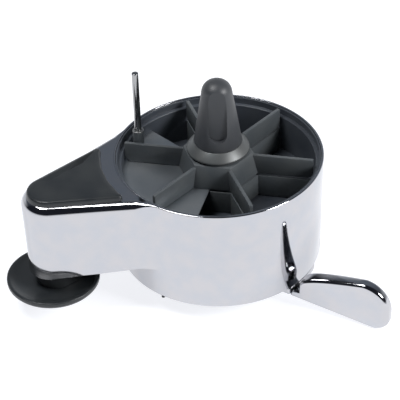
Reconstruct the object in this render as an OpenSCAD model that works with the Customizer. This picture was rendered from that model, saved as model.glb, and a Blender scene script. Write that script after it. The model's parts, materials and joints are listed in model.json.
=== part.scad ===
// Dosing chamber of a coffee grinder, with a fixed tamper under its side arm.
// The origin is the centre of the drum's mouth, on the axis of the turning star.
// +Z is up along that axis, -Y faces the user, +Y faces the grinder, and the arm reaches to -X.

/* [Drum] */
// Outer radius of the chromed drum at its mouth
drum_r = 65; // [64:0.5:66]
// Outer radius of the drum at its lower edge
drum_foot_r = 63.4; // [63:0.1:63.8]
// Height of the drum
drum_h = 70; // [69:0.5:72]
// Radius of the seat for the lid, inside the mouth
lid_seat_r = 63.4; // [63.2:0.1:63.6]
// Depth of the lid's ledge below the mouth
ledge_depth = 4.8; // [4:0.2:5.4]

/* [Chamber] */
// Inner radius of the dark liner
chamber_r = 59.8; // [59.4:0.1:60.2]
// Depth of the chamber's floor below the mouth
floor_depth = 29; // [28:0.5:31]
// Thickness of the chamber's floor
floor_t = 3; // [2.5:0.5:4]

/* [Star] */
// Number of vanes, and so of doses in one turn
vane_count = 6; // [6:1:6]
// Direction of the first vane, in degrees from +X
vane_angle = -12.2; // [-15:0.1:-9]
// Radius that the vanes reach
vane_r = 58.9; // [58:0.1:59.2]
// Thickness of a vane
vane_t = 2.2; // [1.8:0.1:2.6]
// Height of the vanes' top above the mouth
vane_top = 1.5; // [0:0.5:2]
// Depth of the upper star's underside below the mouth
split_depth = 12; // [11:0.5:13]
// Height of the slit between the two stars
slit_h = 1.4; // [1.3:0.1:1.8]

/* [Knob] */
// Radius of the knob's cone at its base
knob_base_r = 14.8; // [14:0.1:15.2]
// Radius of the cone below its dome
knob_tip_r = 9.2; // [8:0.1:9.6]
// Height of the knob's top above the mouth
knob_top = 53.2; // [50:0.2:58]
// Outer radius of the bright skirt under the cone
skirt_r = 19.3; // [18.6:0.1:19.8]

/* [Turning pin] */
// Radius of the steel pin on the star
pin_r = 2.1; // [1.9:0.1:2.3]
// Height of the pin's top above the mouth
pin_top = 50.5; // [46:0.5:54]
// Distance of the pin from the axis
pin_reach = 51.2; // [50.6:0.1:51.6]

/* [Arm] */
// Centre of the arm's round end, across
lobe_x = -102.5; // [-104:0.5:-100]
// Centre of the arm's round end, along the depth
lobe_y = -35.8; // [-36.5:0.1:-35]
// Radius of the arm's round end
lobe_r = 16; // [15.5:0.1:16.5]
// Position of the arm's front wall where it meets the drum
arm_front_y = -49.3; // [-50:0.1:-48.8]
// Direction of the arm's back wall, in degrees from +X
arm_back_angle = 42.7; // [41.5:0.1:44]
// Height of the arm's wall where it meets the drum
arm_h = 50; // [49:0.5:51]
// Slope of the arm's lower edge, in degrees
arm_slope = 6.3; // [6:0.1:6.6]
// Thickness of the arm's walls
arm_wall = 3; // [2.5:0.1:3.2]

/* [Tamper] */
// Radius of the tamper's disc
tamper_r = 28.8; // [28:0.1:29.2]
// Centre of the tamper's disc, across
tamper_x = -104.2; // [-105:0.1:-103.5]
// Centre of the tamper's disc, along the depth
tamper_y = -37.1; // [-38:0.1:-36.5]
// Depth of the disc's rim below the mouth
tamper_depth = 61.5; // [61:0.1:62.5]

/* [Lever] */
// Direction of the paddle, in degrees from +X
lever_angle = -29; // [-31:0.5:-27]
// Thickness of the paddle
lever_t = 9; // [8:0.1:9.6]
// Point where the paddle leaves the drum's foot, across
lever_x = 48.8; // [48:0.1:49.5]
// Point where the paddle leaves the drum's foot, along the depth
lever_y = -46; // [-46.6:0.1:-45.4]

/* [Hidden] */
$fn = 96;

joint_gap = 0.3;        // between parts that pass each other
running_gap = 0.05;     // radial clearance of a shaft in its bush
step = 60;              // angle of one dose, and the lever's stroke

// Levels along the axis
ledge_z = -ledge_depth;
liner_flange_h = 1.5;
split_z = -split_depth;
lower_top_z = split_z - slit_h;
floor_z = -floor_depth;
floor_under_z = floor_z - floor_t;
shelf_h = 4;
foot_z = -drum_h;
base_top_z = foot_z + 6;
base_t = 3;
ratchet_top_z = -42;
ratchet_h = 6;
carrier_top_z = ratchet_top_z - ratchet_h - 1;
carrier_t = 5;
lever_top_z = foot_z - 1.2;
lever_root_h = 5;
shaft_end_z = -81;

// Radii about the axis
bore_r = 62.5;
lower_bore_r = 60.8;
shelf_r = 57;
shaft_r = 5;
thread_r = 4;
hub_low_r = 25.6;
hub_top_r = 22;
hub_mid_r = 25.4;
tower_r = 11;
sleeve_r = 15;
bush_r = 8;
base_bush_r = 12.5;
tube_r = 10;

// ---- shared helpers ----

// Points along an arc about c, from angle a to angle b, in n steps
function arc(c, r, a, b, n) =
    [for (i = [0:n]) c + r * [cos(a + (b - a) * i / n), sin(a + (b - a) * i / n)]];

// A tube from z to z + h
module tube(r_out, r_in, z, h) {
    translate([0, 0, z])
        difference() {
            cylinder(r = r_out, h = h);
            translate([0, 0, -1]) cylinder(r = r_in, h = h + 2);
        }
}

// A flat sector from angle a to angle b
module sector(r, a, b, n = 12) {
    polygon(concat([[0, 0]], arc([0, 0], r, a, b, n)));
}

// The same thing at each of a list of angles and one radius
module at_angles(angles, r) {
    for (a = angles) rotate(a) translate([r, 0, 0]) children();
}

// A pan-head screw pointing down, its head's underside at z = 0
module screw(shank_r, length, head_r, head_h) {
    translate([0, 0, -length]) cylinder(r = shank_r, h = length);
    difference() {
        cylinder(r = head_r, h = head_h);
        translate([-head_r, -0.5, head_h - 0.8]) cube([2 * head_r, 1, 1]);
    }
}

// ---- housing ----

arm_top_t = 5;
tamper_bolt_r = 3;
tamper_bolt_sink = 3.5;
blend_r = drum_r - 0.15;    // the arm's two fillets run just into the drum
front_fillet = 25;
back_fillet = 30;
screw_angles = [30, 102, 262];
floor_screw_angles = [0, 120, 270];
screw_reach = 59;

// The arm's back wall is a line at this distance from the axis
back_n = [-sin(arm_back_angle), cos(arm_back_angle)];
back_offset = [lobe_x, lobe_y] * back_n + lobe_r;
front_centre_y = arm_front_y - front_fillet;
front_centre = [-sqrt(pow(blend_r + front_fillet, 2) - pow(front_centre_y, 2)), front_centre_y];
front_centre_angle = atan2(front_centre[1], front_centre[0]);
back_turn = acos((back_offset + back_fillet) / (blend_r + back_fillet));
back_centre_angle = arm_back_angle + 90 + back_turn;
back_centre = (blend_r + back_fillet) * [cos(back_centre_angle), sin(back_centre_angle)];

// Outline of the arm, blended into the drum on both sides
arm_outline = concat(
    [[0, 0]],
    arc(back_centre, back_fillet, back_centre_angle - 180, arm_back_angle - 90, 8),
    arc([lobe_x, lobe_y], lobe_r, arm_back_angle + 90, 270, 24),
    arc(front_centre, front_fillet, 90, front_centre_angle + 180, 8));

module arm_2d() {
    polygon(arm_outline);
}

// The space under the arm's lower edge: level at the drum, then sloping down to the tip
module under_arm() {
    reach = 100;
    rotate([90, 0, 0])
        linear_extrude(2 * reach, center = true)
            polygon([[0, -arm_h], [-drum_r, -arm_h],
                     [-drum_r - reach, -arm_h - reach * tan(arm_slope)],
                     [-drum_r - reach, -reach], [0, -reach]]);
}

module arm_shell() {
    difference() {
        translate([0, 0, -60]) linear_extrude(60) arm_2d();
        translate([0, 0, -61])
            linear_extrude(61 - arm_top_t) offset(delta = -arm_wall) arm_2d();
        under_arm();
        translate([0, 0, -65]) cylinder(r = drum_foot_r - 0.5, h = 66);
        translate([tamper_x, tamper_y, -6]) cylinder(r = tamper_bolt_r + 0.3, h = 8);
        translate([tamper_x, tamper_y, -tamper_bolt_sink]) cylinder(r = 6.4, h = 4);
    }
}

flange_w = 62;
flange_top_z = -16;
flange_h = 40;
flange_y = 74;
flange_bolt_x = 23;
flange_bolt_z = 13;
flange_mid_z = flange_top_z - flange_h / 2;

module rear_flange() {
    difference() {
        translate([-flange_w / 2, 40, flange_top_z - flange_h])
            cube([flange_w, flange_y - 40, flange_h]);
        translate([0, 0, foot_z]) cylinder(r = drum_foot_r - 0.5, h = 80);
        for (x = [-1, 1], z = [-1, 1])
            translate([x * flange_bolt_x, flange_y + 1, flange_mid_z + z * flange_bolt_z])
                rotate([90, 0, 0]) cylinder(r = 2.5, h = 11);
    }
}

module drum_wall() {
    difference() {
        translate([0, 0, foot_z])
            cylinder(r1 = drum_foot_r, r2 = drum_r, h = drum_h);
        translate([0, 0, floor_under_z]) cylinder(r = bore_r, h = 40);
        translate([0, 0, floor_under_z - shelf_h - 1]) cylinder(r = shelf_r, h = 20);
        translate([0, 0, base_top_z + shelf_h])
            cylinder(r = lower_bore_r, h = floor_under_z - shelf_h - base_top_z - shelf_h);
        translate([0, 0, foot_z + 1]) cylinder(r = shelf_r, h = 20);
        translate([0, 0, foot_z - 1]) cylinder(r = lower_bore_r, h = base_top_z - foot_z + 1);
        at_angles(floor_screw_angles, screw_reach)
            translate([0, 0, floor_under_z - shelf_h - 1]) cylinder(r = 1.6, h = 9);
        at_angles(screw_angles, screw_reach)
            translate([0, 0, base_top_z - 1]) cylinder(r = 1.5, h = shelf_h + 2);
    }
}

module drum_housing() {
    color("gainsboro")
        difference() {
            union() {
                drum_wall();
                arm_shell();
                rear_flange();
            }
            translate([0, 0, ledge_z - liner_flange_h]) cylinder(r = lid_seat_r, h = 20);
        }
}

module foot_nubs() {
    color("dimgray")
        at_angles([-126, 174, 60], (drum_foot_r + lower_bore_r) / 2)
            translate([0, 0, foot_z - 1.4]) cylinder(r = 1.1, h = 1.4);
}

// ---- chamber ----

upstand_r = 62.2;
upstand_top_z = -0.6;
plate_start = 133.5;
plate_end = 253.5;
plate_t = 0.8;
plate_z = split_z - joint_gap - plate_t;
plate_r = 61;
outlet_start = 171;
outlet_end = 227;
outlet_in_r = 31;
outlet_out_r = 56;

module chamber_liner() {
    color("dimgray")
        difference() {
            union() {
                tube(bore_r - 0.2, chamber_r, floor_z, ledge_z - floor_z);
                tube(lid_seat_r - 0.2, chamber_r, ledge_z - liner_flange_h, liner_flange_h);
                tube(lid_seat_r - 0.2, upstand_r, ledge_z - 1, upstand_top_z - ledge_z + 1);
            }
            translate([0, 0, plate_z - 0.1]) cylinder(r = plate_r + 0.2, h = plate_t + 0.2);
        }
}

module outlet_2d() {
    difference() {
        sector(outlet_out_r, outlet_start, outlet_end);
        circle(r = outlet_in_r);
    }
}

module chamber_floor() {
    color("darkslategray")
        difference() {
            union() {
                translate([0, 0, floor_under_z]) cylinder(r = bore_r - 0.3, h = floor_t);
                translate([0, 0, floor_under_z - 7]) cylinder(r = 12, h = 8);
            }
            translate([0, 0, floor_under_z - 8]) cylinder(r = bush_r, h = 20);
            translate([0, 0, floor_under_z - 1]) linear_extrude(floor_t + 2) outlet_2d();
            at_angles(floor_screw_angles, screw_reach)
                translate([0, 0, floor_under_z - 1]) cylinder(r = 1.3, h = floor_t);
        }
}

module floor_bush() {
    color("peru") tube(bush_r, shaft_r + running_gap, floor_under_z - 7, floor_t + 7);
}

module level_plate() {
    color("silver")
        translate([0, 0, plate_z])
            linear_extrude(plate_t)
                difference() {
                    sector(plate_r, plate_start, plate_end, 48);
                    circle(r = sleeve_r + 1.5);
                }
}

chute_reach = 43;
chute_angle = (outlet_start + outlet_end) / 2;
chute_r = 11;
chute_wall = 1.4;

// Funnel shape, grown by g all round
module funnel(g) {
    hull() {
        translate([0, 0, floor_under_z - 1 - g])
            linear_extrude(1 + g)
                difference() {
                    sector(outlet_out_r - 1 + g, outlet_start + 3, outlet_end - 3);
                    circle(r = outlet_in_r + 2 - g);
                    rotate(chute_angle) translate([0, -40]) square([outlet_in_r + 2 - g, 80]);
                }
        rotate(chute_angle)
            translate([chute_reach, 0, foot_z]) cylinder(r = chute_r + g, h = 8, $fn = 32);
    }
}

module outlet_chute() {
    color("dimgray")
        difference() {
            funnel(chute_wall);
            funnel(0);
            translate([0, 0, floor_under_z - 0.01]) cylinder(r = 70, h = 5);
            translate([0, 0, foot_z - 5]) cylinder(r = 70, h = 5.5);
        }
}

module floor_screws() {
    color("silver")
        at_angles(floor_screw_angles, screw_reach)
            translate([0, 0, floor_under_z - shelf_h])
                rotate([180, 0, 0]) screw(1.3, shelf_h + 1.9, 1.7, 1.4);
}

// ---- base ----

module base_plate() {
    color("dimgray")
        difference() {
            union() {
                translate([0, 0, base_top_z - base_t]) cylinder(r = lower_bore_r - 0.3, h = base_t);
                translate([0, 0, base_top_z - base_t]) cylinder(r = 16, h = 7);
            }
            translate([0, 0, base_top_z - 10]) cylinder(r = base_bush_r, h = 20);
            rotate(chute_angle)
                translate([chute_reach, 0, base_top_z - 5]) cylinder(r = chute_r + 3.2, h = 10);
            at_angles(screw_angles, screw_reach)
                translate([0, 0, base_top_z - 5]) cylinder(r = 1.6, h = 10);
        }
}

module base_bush() {
    color("peru") tube(base_bush_r, tube_r + running_gap, base_top_z - base_t, 7);
}

module base_screws() {
    color("silver")
        at_angles(screw_angles, screw_reach)
            translate([0, 0, base_top_z - base_t])
                rotate([180, 0, 0]) screw(1.4, base_t + 3, 1.7, 1.4);
}

// A spring of flat rings, standing for its turns
module return_spring() {
    color("slategray")
        for (i = [0:3]) tube(13.4, 11.2, base_top_z + 4.2 + i * 1.45, 1.1);
}

// ---- arm fittings ----

pad_gap = 3.3;
pad_reach = 71.4;
pad_h = 3.2;

module pad_2d() {
    offset(r = 3, $fn = 32)
        offset(delta = -3 - pad_gap)
            difference() {
                arm_2d();
                circle(r = pad_reach - pad_gap);
            }
}

module arm_pad() {
    color("darkslategray") {
        linear_extrude(pad_h - 1) pad_2d();
        translate([0, 0, pad_h - 1]) linear_extrude(1) offset(delta = -1) pad_2d();
    }
}

neck_r = 12.2;
neck_top_z = -44;
neck_stem_r = 8;
tamper_bolt_l = 26;
dish_z = -tamper_depth - 3;

module tamper_neck() {
    color("darkslategray")
        difference() {
            union() {
                translate([0, 0, dish_z])
                    linear_extrude(neck_top_z - dish_z)
                        hull() {
                            translate([lobe_x, lobe_y]) circle(r = neck_r, $fn = 64);
                            translate([lobe_x + 8, lobe_y + 6]) circle(r = neck_r, $fn = 64);
                        }
                translate([tamper_x, tamper_y, neck_top_z - 1])
                    cylinder(r = neck_stem_r, h = -arm_top_t - neck_top_z + 1);
            }
            translate([tamper_x, tamper_y, -tamper_bolt_sink - tamper_bolt_l])
                cylinder(r = tamper_bolt_r, h = 60);
        }
}

module tamper_disc() {
    rim_t = 2.6;
    color("darkslategray")
        translate([tamper_x, tamper_y, -tamper_depth])
            rotate_extrude()
                polygon([[0, -3], [14, -3], [19, -2.5], [24, -1.3], [tamper_r - 1, 0],
                         [tamper_r, 0], [tamper_r, -rim_t], [tamper_r - 1.6, -rim_t - 2],
                         [0, -rim_t - 2]]);
}

module tamper_screw() {
    color("silver")
        translate([tamper_x, tamper_y, -tamper_bolt_sink])
            screw(tamper_bolt_r, tamper_bolt_l, 5.5, 3);
}

// ---- lower star ----

vane_angles = [for (i = [0:vane_count - 1]) vane_angle + i * 360 / vane_count];
spline_w = 3;
spline_r = 12.6;
pocket_z = floor_z + 4;
star_under_z = floor_z + 0.4;

module splines(r, w, z, h) {
    at_angles([0, 120, 240], 0) translate([0, -w / 2, z]) cube([r, w, h]);
}

module hex_cone(r_low, r_high, z, h) {
    rotate(vane_angle) translate([0, 0, z]) cylinder(r1 = r_low, r2 = r_high, h = h, $fn = 6);
}

module lower_star() {
    color("darkslategray")
        difference() {
            union() {
                difference() {
                    union() {
                        rotate(vane_angle)
                            translate([0, 0, star_under_z])
                                cylinder(r = hub_low_r, h = lower_top_z - star_under_z, $fn = 6);
                        at_angles(vane_angles, 18)
                            translate([0, -vane_t / 2, star_under_z])
                                cube([vane_r - 18, vane_t, lower_top_z - star_under_z]);
                    }
                    translate([0, 0, pocket_z]) cylinder(r = sleeve_r + joint_gap, h = 30);
                }
                translate([0, 0, pocket_z - 1]) cylinder(r = tower_r, h = 19);
                splines(spline_r, spline_w, pocket_z - 1, 18);
            }
            translate([0, 0, floor_z - 5]) cylinder(r = shaft_r, h = 40);
        }
}

shaft_shoulder_z = -7.2;

module star_shaft() {
    color("silver")
        difference() {
            union() {
                translate([0, 0, shaft_end_z])
                    cylinder(r = shaft_r, h = shaft_shoulder_z - shaft_end_z);
                translate([0, 0, shaft_shoulder_z - 1]) cylinder(r = thread_r, h = 20);
            }
            translate([0, 0, ratchet_top_z - ratchet_h / 2])
                rotate([90, 0, 0]) cylinder(r = 1.5, h = 20, center = true);
            translate([0, 0, shaft_end_z + 2]) tube(7, 4.2, 0, 1.2);
        }
}

ratchet_teeth = 6;
ratchet_r = 21;
ratchet_root_r = 16;
ratchet_face_angle = -37;

// Outline of a ratchet: each tooth rises along a ramp and drops along a radius
ratchet_outline = [for (i = [0:ratchet_teeth - 1], k = [0:5])
    let (a = ratchet_face_angle + i * step + k * step / 5,
         r = ratchet_root_r + k * (ratchet_r - ratchet_root_r) / 5)
        r * [cos(a), sin(a)]];

module ratchet_wheel() {
    color("slategray")
        difference() {
            union() {
                translate([0, 0, ratchet_top_z - ratchet_h])
                    linear_extrude(ratchet_h) polygon(ratchet_outline);
                translate([0, 0, ratchet_top_z - ratchet_h]) cylinder(r = 10, h = ratchet_h + 2);
            }
            translate([0, 0, ratchet_top_z - 20]) cylinder(r = shaft_r, h = 40);
            translate([0, 0, ratchet_top_z - ratchet_h / 2])
                rotate([90, 0, 0]) cylinder(r = 1.5, h = 60, center = true);
        }
}

module drive_pin() {
    color("silver")
        translate([0, 0, ratchet_top_z - ratchet_h / 2])
            rotate([90, 0, 0]) cylinder(r = 1.5, h = 28, center = true);
}

washer_z = lever_top_z - lever_root_h - 1.6;

module shaft_washer() {
    color("silver") tube(9, shaft_r + running_gap, washer_z, 1.2);
}

module shaft_circlip() {
    color("slategray")
        difference() {
            tube(7.2, 4.2, shaft_end_z + 2, 1.2);
            translate([0, -1.5, shaft_end_z]) cube([10, 3, 6]);
        }
}

// ---- upper star ----

star_top = 3;
cap_z = 0.2;
stem_r = 8;
pin_vane_angle = vane_angle + 180;
pin_angle = pin_vane_angle - 5;
boss_r = 3.4;
boss_top = 8;
boss_web = 4.4;         // joins the pin's boss to the vane beside it

// A thin vane of the upper star with its outer lower corner rounded
module upper_vane() {
    corner = 4;
    rotate([90, 0, 0])
        translate([0, 0, -vane_t / 2])
            linear_extrude(vane_t)
                polygon(concat([[18, vane_top], [18, split_z]],
                               arc([vane_r - corner, split_z + corner], corner, 270, 360, 6),
                               [[vane_r, vane_top]]));
}

module upper_star() {
    color("darkslategray")
        difference() {
            union() {
                hex_cone(hub_mid_r, hub_top_r, split_z + 0.1, star_top - split_z - 0.1);
                at_angles(vane_angles, 0) upper_vane();
                translate([0, 0, pocket_z + joint_gap])
                    cylinder(r = sleeve_r, h = split_z - pocket_z);
                rotate(pin_angle) {
                    translate([pin_reach, 0, split_z]) cylinder(r = boss_r, h = boss_top - split_z);
                    translate([pin_reach - 2.6, 0, split_z])
                        cube([5.2, boss_web, vane_top - 0.5 - split_z]);
                }
            }
            translate([0, 0, -40]) cylinder(r = tower_r + joint_gap, h = 40 + cap_z);
            splines(spline_r + joint_gap, spline_w + 0.6, -40, 40 + split_z + 4);
            translate([0, 0, -1]) cylinder(r = stem_r + running_gap, h = 8);
            rotate(pin_angle) translate([pin_reach, 0, -8]) cylinder(r = pin_r, h = 30);
        }
}

module pin_collar() {
    color("gray")
        rotate(pin_angle) translate([pin_reach, 0, 0]) tube(boss_r, pin_r, boss_top, 0.8);
}

module turning_pin() {
    color("silver")
        rotate(pin_angle) translate([pin_reach, 0, -8]) cylinder(r = pin_r, h = pin_top + 8);
}

// ---- knob ----

cone_z = 10;
skirt_edge_z = 4.3;
cone_end_z = 45.5;
grip_w = 10;
grip_reach = 9.4;
grip_z = 21;
stem_under_z = cap_z - joint_gap;
nut_h = 5.9;

// What a round-ended cutter takes away for one finger recess
module grip_cutter() {
    translate([0, -grip_w / 2, grip_z]) cube([10, grip_w, knob_top]);
    translate([0, 0, grip_z]) rotate([0, 90, 0]) cylinder(r = grip_w / 2, h = 10);
}

module knob_cone() {
    color("dimgray")
        difference() {
            union() {
                rotate_extrude()
                    polygon(concat([[0, cone_z], [knob_base_r, cone_z], [knob_tip_r, cone_end_z]],
                                   [for (i = [1:8]) [knob_tip_r * cos(i * 90 / 8),
                                       cone_end_z + (knob_top - cone_end_z) * sin(i * 90 / 8)]]));
                translate([0, 0, stem_under_z]) cylinder(r = stem_r, h = cone_z - stem_under_z + 1);
            }
            translate([0, 0, -2]) cylinder(r = thread_r + joint_gap, h = 34);
            at_angles([-90, 30, 150], grip_reach) grip_cutter();
        }
}

module knob_skirt() {
    color("darkgray")
        difference() {
            union() {
                translate([0, 0, skirt_edge_z + 1.2])
                    cylinder(r1 = skirt_r, r2 = knob_base_r + 0.2, h = cone_z - skirt_edge_z - 1.2);
                translate([0, 0, skirt_edge_z]) cylinder(r = skirt_r, h = 1.2);
                translate([0, 0, star_top + joint_gap])
                    cylinder(r = skirt_r - 1.6, h = skirt_edge_z - star_top);
            }
            cylinder(r = stem_r, h = 20);
        }
}

module adjusting_nut() {
    color("goldenrod")
        tube(10.4, thread_r + running_gap, stem_under_z - nut_h, nut_h);
}

// ---- lever ----

// Side outline of the paddle: distance along it from the drum's foot, and height
paddle_outline = concat(
    [[-6, lever_top_z - lever_root_h], [-4, lever_top_z - 0.4], [-1, lever_top_z],
     [0.2, -70.4], [1.8, -66], [4.5, -61.8], [12, -59], [21.7, -55.7], [31.5, -53.3],
     [38, -51.9]],
    arc([42, -69], 17.5, 90, 0, 8),
    arc([49.5, -73], 10, -10, -100, 8));

lever_under_z = lever_top_z - lever_root_h;
lever_screw_angles = [45, 225];
lever_screw_reach = 7.8;
screw_sink = 1.5;

module paddle() {
    translate([lever_x, lever_y, 0])
        rotate(lever_angle)
            rotate([90, 0, 0])
                translate([0, 0, -lever_t / 2]) linear_extrude(lever_t) polygon(paddle_outline);
}

module lever_handle() {
    color("gainsboro")
        difference() {
            union() {
                translate([0, 0, lever_top_z - lever_root_h])
                    linear_extrude(lever_root_h)
                        polygon(concat(arc([0, 0], 15, 60, 240, 16),
                                       arc([0, 0], 62.6, -49, -20, 8)));
                paddle();
            }
            translate([0, 0, -100]) cylinder(r = shaft_r + running_gap, h = 60);
            at_angles(lever_screw_angles, lever_screw_reach) {
                translate([0, 0, -100]) cylinder(r = 1.2, h = 60);
                translate([0, 0, lever_under_z - 1]) cylinder(r = 2.3, h = 1 + screw_sink);
            }
        }
}

pawl_angle = 20;
pawl_pivot_r = 31;
pawl_pin_r = 2;
carrier_arm_r = 6;

module pawl_carrier() {
    color("slategray")
        difference() {
            union() {
                translate([0, 0, carrier_top_z - carrier_t])
                    hull() {
                        cylinder(r = 14, h = carrier_t, $fn = 48);
                        rotate(pawl_angle)
                            translate([pawl_pivot_r, 0, 0])
                                cylinder(r = carrier_arm_r, h = carrier_t, $fn = 32);
                    }
                translate([0, 0, lever_top_z]) cylinder(r = tube_r, h = carrier_top_z - lever_top_z);
            }
            translate([0, 0, -100]) cylinder(r = shaft_r + running_gap, h = 80);
            rotate(pawl_angle)
                translate([pawl_pivot_r, 0, -80]) cylinder(r = pawl_pin_r, h = 60);
            at_angles(lever_screw_angles, lever_screw_reach)
                translate([0, 0, lever_top_z - 1]) cylinder(r = 1.2, h = 9);
        }
}

module lever_screws() {
    color("silver")
        at_angles(lever_screw_angles, lever_screw_reach)
            translate([0, 0, lever_under_z + screw_sink])
                rotate([180, 0, 0]) screw(1.2, lever_root_h - screw_sink + 6, 2.1, 1.4);
}

module pawl_pin() {
    color("silver")
        rotate(pawl_angle)
            translate([pawl_pivot_r, 0, carrier_top_z - carrier_t])
                cylinder(r = pawl_pin_r, h = carrier_t + ratchet_h + 2);
}

pawl_z = carrier_top_z + 0.5;

// Outline of the pawl about the star's axis: it follows the ramp in, and comes back outside it
pawl_outline = [for (p = [[16.5, -55.5], [17.7, -47], [18.7, -37], [19.6, -27], [20.5, -17],
                          [21.4, -7], [27.7, 5.8], [31.8, -8], [25.4, -24], [22.8, -40],
                          [20.9, -55.5]]) p[0] * [cos(p[1]), sin(p[1])]];

module pawl() {
    color("slategray")
        rotate(pawl_angle)
            difference() {
                union() {
                    translate([pawl_pivot_r, 0, pawl_z]) cylinder(r = 4.5, h = 5);
                    translate([0, 0, pawl_z])
                        linear_extrude(5) polygon(pawl_outline);
                }
                translate([pawl_pivot_r, 0, -80])
                    cylinder(r = pawl_pin_r + running_gap, h = 60);
            }
}

module pawl_spring() {
    color("silver")
        rotate(pawl_angle) translate([pawl_pivot_r, 0, pawl_z + 5.3]) tube(3.6, 2.3, 0, 1);
}

drum_housing();
chamber_liner();
chamber_floor();
floor_bush();
level_plate();
outlet_chute();
base_plate();
base_bush();
base_screws();
floor_screws();
foot_nubs();
return_spring();
arm_pad();
tamper_neck();
tamper_disc();
tamper_screw();
lower_star();
star_shaft();
ratchet_wheel();
drive_pin();
shaft_washer();
shaft_circlip();
upper_star();
pin_collar();
turning_pin();
knob_cone();
knob_skirt();
adjusting_nut();
lever_handle();
pawl_carrier();
lever_screws();
pawl_pin();
pawl_spring();
pawl();
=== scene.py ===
# %% [markdown]
# # A coffee grinder's doser, piece by piece
#
# The object is the dosing chamber of a coffee grinder. A chromed drum holds a star wheel with six
# vanes, a cone-shaped knob stands on the star's axis, an arm at the side carries a round tamper, and a
# lever under the drum turns the star by one dose at each pull. The CAD model is loaded first as a fixed
# frame. Pieces that show get a finer mesh here, and the hidden ones keep their CAD mesh.

# %% Load the frame
import json
import math

import bmesh
import bpy
from mathutils import Matrix, Vector
from mathutils.geometry import interpolate_bezier


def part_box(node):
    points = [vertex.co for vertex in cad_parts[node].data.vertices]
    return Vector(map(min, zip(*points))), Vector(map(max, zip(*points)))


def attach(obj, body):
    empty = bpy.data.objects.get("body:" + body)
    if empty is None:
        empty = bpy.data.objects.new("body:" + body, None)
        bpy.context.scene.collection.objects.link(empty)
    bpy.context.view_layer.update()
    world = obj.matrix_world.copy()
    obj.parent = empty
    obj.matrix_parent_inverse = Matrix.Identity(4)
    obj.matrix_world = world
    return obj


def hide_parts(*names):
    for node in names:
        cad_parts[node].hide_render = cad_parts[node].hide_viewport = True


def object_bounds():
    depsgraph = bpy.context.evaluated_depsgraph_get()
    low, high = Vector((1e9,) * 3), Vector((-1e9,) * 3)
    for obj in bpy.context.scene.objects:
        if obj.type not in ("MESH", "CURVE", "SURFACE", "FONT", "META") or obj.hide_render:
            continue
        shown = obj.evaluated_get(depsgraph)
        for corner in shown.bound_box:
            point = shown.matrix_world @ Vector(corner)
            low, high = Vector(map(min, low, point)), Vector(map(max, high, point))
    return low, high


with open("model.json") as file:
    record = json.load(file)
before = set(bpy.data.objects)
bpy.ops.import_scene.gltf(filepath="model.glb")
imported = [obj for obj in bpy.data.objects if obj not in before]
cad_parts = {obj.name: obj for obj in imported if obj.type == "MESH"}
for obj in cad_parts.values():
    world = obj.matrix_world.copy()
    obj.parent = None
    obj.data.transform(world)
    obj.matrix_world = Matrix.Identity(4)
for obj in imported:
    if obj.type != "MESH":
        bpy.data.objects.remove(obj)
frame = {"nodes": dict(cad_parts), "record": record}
cad_low, cad_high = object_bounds()
mm = 0.001
print("CAD box in mm:", [round(v / mm, 1) for v in (*cad_low, *cad_high)])

# %% [markdown]
# ## Camera
#
# A long lens from well above the drum keeps the vertical walls nearly parallel. The camera stands in
# front of the drum and looks down into its open mouth. It is turned a little about its own axis, as a
# hand-levelled camera is.

# %% Camera
camera_place = Vector((-12.1, -907.0, 653.3)) * mm
camera_aim = Vector((-12.1, -16.9, -23.0)) * mm
camera_roll = math.radians(-1.86)

camera = bpy.data.objects.new("camera", bpy.data.cameras.new("camera"))
camera.data.lens = 163.8
camera.data.sensor_width = 36
camera.location = camera_place
look = (camera_aim - camera_place).to_track_quat("-Z", "Y").to_matrix()
camera.rotation_euler = (look @ Matrix.Rotation(camera_roll, 3, "Z")).to_euler()
bpy.context.scene.collection.objects.link(camera)
bpy.context.scene.camera = camera
bpy.context.scene.view_settings.view_transform = "Standard"
print("camera is", round((camera_aim - camera_place).length / mm), "mm from its aim")

# %% [markdown]
# ## Floor, light and surroundings
#
# Chrome shows what stands round it, so the surroundings are part of the finish. The walls of the drum
# mirror the floor, the rounded edges mirror the dark room above it, and one soft box above the arm
# leaves a thin white line along those edges. A second box at the front right lights the sides of the
# vanes, which stand too deep in the drum for the first. The room is a world shader that depends on the
# direction alone: white at the horizon, dark higher up in front, and a blue grey high up at the back.

# %% Floor
floor_size = 12.0
floor_bm = bmesh.new()
bmesh.ops.create_grid(floor_bm, x_segments=1, y_segments=1, size=floor_size / 2)
floor_mesh = bpy.data.meshes.new("floor")
floor_bm.to_mesh(floor_mesh)
floor_bm.free()
floor = bpy.data.objects.new("floor", floor_mesh)
floor.location.z = cad_low.z - 0.2 * mm
bpy.context.scene.collection.objects.link(floor)
floor_finish = bpy.data.materials.new("pale_floor")
floor_finish.use_nodes = True
floor_shader = floor_finish.node_tree.nodes["Principled BSDF"]
floor_shader.inputs["Base Color"].default_value = (0.40, 0.405, 0.41, 1)
floor_shader.inputs["Roughness"].default_value = 0.9
floor_shader.inputs["Emission Color"].default_value = (0.95, 0.96, 1.0, 1)
floor_shader.inputs["Emission Strength"].default_value = 0.85
floor_mesh.materials.append(floor_finish)
print("floor at", round(floor.location.z / mm, 1), "mm")


# %% Soft boxes
def soft_box(name, place, aim, size, power):
    """A square lamp of the given size, in metres, that shines from place towards aim."""
    lamp = bpy.data.lights.new(name, "AREA")
    lamp.size = size
    lamp.energy = power
    box = bpy.data.objects.new(name, lamp)
    box.location = place
    box.rotation_euler = (Vector(aim) - Vector(place)).to_track_quat("-Z", "Y").to_euler()
    bpy.context.scene.collection.objects.link(box)
    return box


soft_box("key_box", (-0.50, -0.10, 1.25), (-0.05, 0, 0), 0.5, 12)
soft_box("side_box", (1.6, -0.8, 1.1), (0, 0, 0), 0.7, 38)

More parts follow.
